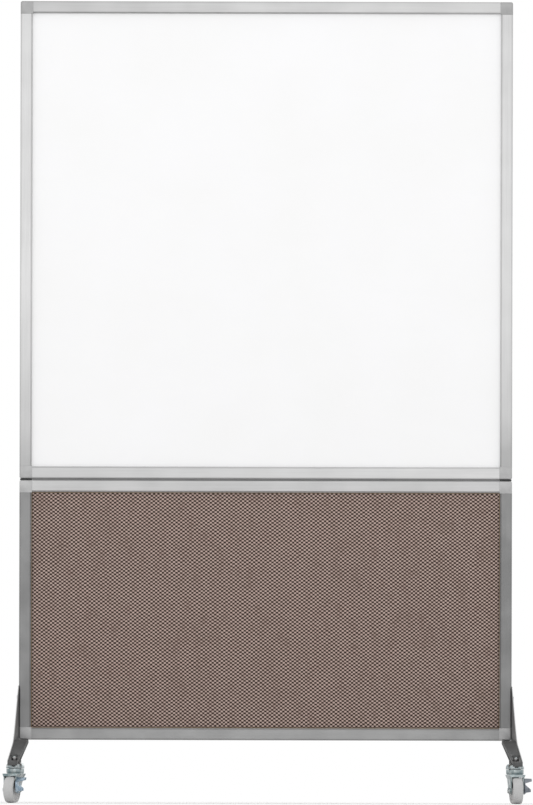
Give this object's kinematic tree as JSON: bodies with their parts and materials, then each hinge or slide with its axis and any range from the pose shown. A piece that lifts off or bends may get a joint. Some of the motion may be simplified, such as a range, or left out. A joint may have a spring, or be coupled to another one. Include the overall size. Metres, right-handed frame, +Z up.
{
  "type": "rolling partition",
  "caption": "Free-standing room divider on lockable swivel casters: a dry-erase board stacked above a fabric-covered board, both in aluminium frames.",
  "frame": {"origin": "on the floor below the middle of the panels", "axes": "+Z up; +X along the panels, to the right as seen from the front; +Y to the back"},
  "size_m": [1.3055, 0.5199, 1.9846],
  "materials": {
    "upper_rail": "satin anodised extrusion, fine lengthwise grain",
    "upper_stile": "satin anodised extrusion, fine lengthwise grain",
    "upper_corner": "satin die cast",
    "lower_rail": "satin anodised extrusion, fine lengthwise grain",
    "lower_stile": "satin anodised extrusion, fine lengthwise grain",
    "lower_corner": "satin die cast",
    "writing_surface": "glossy white dry-erase enamel on steel sheet",
    "board_core": "fibreboard, hidden in the frame",
    "fabric": "woven taupe cloth with light and dark flecks",
    "joint_strip": "grey strip",
    "joint_spacer": "black moulded",
    "foot": "charcoal textured paint",
    "foot_bolt": "dark steel",
    "stem_nut": "zinc plated",
    "caster_plated": "bright zinc plate with a blue tint",
    "caster_fork": "bright zinc plate with a blue tint",
    "tyre": "non-marking grey tread",
    "wheel_hub": "moulded grey",
    "brake_lever": "pressed and plated"
  },
  "bodies": {
    "partition": {"upper_top_rail": "upper_rail", "upper_bottom_rail": "upper_rail", "upper_left_stile": "upper_stile", "upper_right_stile": "upper_stile", "upper_top_left_corner": "upper_corner", "upper_top_right_corner": "upper_corner", "upper_bottom_left_corner": "upper_corner", "upper_bottom_right_corner": "upper_corner", "whiteboard_core": "board_core", "whiteboard_front_sheet": "writing_surface", "whiteboard_back_sheet": "writing_surface", "lower_top_rail": "lower_rail", "lower_bottom_rail": "lower_rail", "lower_left_stile": "lower_stile", "lower_right_stile": "lower_stile", "lower_top_left_corner": "lower_corner", "lower_top_right_corner": "lower_corner", "lower_bottom_left_corner": "lower_corner", "lower_bottom_right_corner": "lower_corner", "fabric_panel_core": "board_core", "fabric_front": "fabric", "fabric_back": "fabric", "panel_joint_strip": "joint_strip", "left_joint_spacer": "joint_spacer", "right_joint_spacer": "joint_spacer", "left_foot": "foot", "right_foot": "foot", "left_foot_lower_bolt": "foot_bolt", "left_foot_upper_bolt": "foot_bolt", "right_foot_lower_bolt": "foot_bolt", "right_foot_upper_bolt": "foot_bolt", "front_left_caster_stem": "caster_plated", "front_left_caster_stem_nut": "stem_nut", "front_right_caster_stem": "caster_plated", "front_right_caster_stem_nut": "stem_nut", "rear_left_caster_stem": "caster_plated", "rear_left_caster_stem_nut": "stem_nut", "rear_right_caster_stem": "caster_plated", "rear_right_caster_stem_nut": "stem_nut"},
    "front_left_fork": {"front_left_caster_fork": "caster_fork", "front_left_caster_axle": "caster_plated"},
    "front_left_wheel": {"front_left_caster_tyre": "tyre", "front_left_caster_wheel_hub": "wheel_hub"},
    "front_left_lever": {"front_left_caster_brake_lever": "brake_lever"},
    "front_right_fork": {"front_right_caster_fork": "caster_fork", "front_right_caster_axle": "caster_plated"},
    "front_right_wheel": {"front_right_caster_tyre": "tyre", "front_right_caster_wheel_hub": "wheel_hub"},
    "front_right_lever": {"front_right_caster_brake_lever": "brake_lever"},
    "rear_left_fork": {"rear_left_caster_fork": "caster_fork", "rear_left_caster_axle": "caster_plated"},
    "rear_left_wheel": {"rear_left_caster_tyre": "tyre", "rear_left_caster_wheel_hub": "wheel_hub"},
    "rear_left_lever": {"rear_left_caster_brake_lever": "brake_lever"},
    "rear_right_fork": {"rear_right_caster_fork": "caster_fork", "rear_right_caster_axle": "caster_plated"},
    "rear_right_wheel": {"rear_right_caster_tyre": "tyre", "rear_right_caster_wheel_hub": "wheel_hub"},
    "rear_right_lever": {"rear_right_caster_brake_lever": "brake_lever"}
  },
  "joints": [
    {"name": "front_left_swivel", "type": "hinge", "parent": "partition", "child": "front_left_fork", "pos_m": [-0.61835, -0.208, 0.069], "axis": [0, 0, 1], "continuous": true},
    {"name": "front_left_roll", "type": "hinge", "parent": "front_left_fork", "child": "front_left_wheel", "pos_m": [-0.62636, -0.23691, 0.0325], "axis": [0.9636, -0.2672, 0], "continuous": true},
    {"name": "front_left_brake", "type": "hinge", "parent": "front_left_fork", "child": "front_left_lever", "pos_m": [-0.62636, -0.23691, 0.0325], "axis": [0.9636, -0.2672, 0], "range_deg": [0, 20]},
    {"name": "front_right_swivel", "type": "hinge", "parent": "partition", "child": "front_right_fork", "pos_m": [0.61835, -0.208, 0.069], "axis": [0, 0, 1], "continuous": true},
    {"name": "front_right_roll", "type": "hinge", "parent": "front_right_fork", "child": "front_right_wheel", "pos_m": [0.62148, -0.23784, 0.0325], "axis": [0.9945, 0.1045, 0], "continuous": true},
    {"name": "front_right_brake", "type": "hinge", "parent": "front_right_fork", "child": "front_right_lever", "pos_m": [0.62148, -0.23784, 0.0325], "axis": [0.9945, 0.1045, 0], "range_deg": [0, 20]},
    {"name": "rear_left_swivel", "type": "hinge", "parent": "partition", "child": "rear_left_fork", "pos_m": [-0.61835, 0.208, 0.069], "axis": [0, 0, 1], "continuous": true},
    {"name": "rear_left_roll", "type": "hinge", "parent": "rear_left_fork", "child": "rear_left_wheel", "pos_m": [-0.62636, 0.17909, 0.0325], "axis": [0.9636, -0.2672, 0], "continuous": true},
    {"name": "rear_left_brake", "type": "hinge", "parent": "rear_left_fork", "child": "rear_left_lever", "pos_m": [-0.62636, 0.17909, 0.0325], "axis": [0.9636, -0.2672, 0], "range_deg": [0, 20]},
    {"name": "rear_right_swivel", "type": "hinge", "parent": "partition", "child": "rear_right_fork", "pos_m": [0.61835, 0.208, 0.069], "axis": [0, 0, 1], "continuous": true},
    {"name": "rear_right_roll", "type": "hinge", "parent": "rear_right_fork", "child": "rear_right_wheel", "pos_m": [0.62148, 0.17816, 0.0325], "axis": [0.9945, 0.1045, 0], "continuous": true},
    {"name": "rear_right_brake", "type": "hinge", "parent": "rear_right_fork", "child": "rear_right_lever", "pos_m": [0.62148, 0.17816, 0.0325], "axis": [0.9945, 0.1045, 0], "range_deg": [0, 20]}
  ]
}
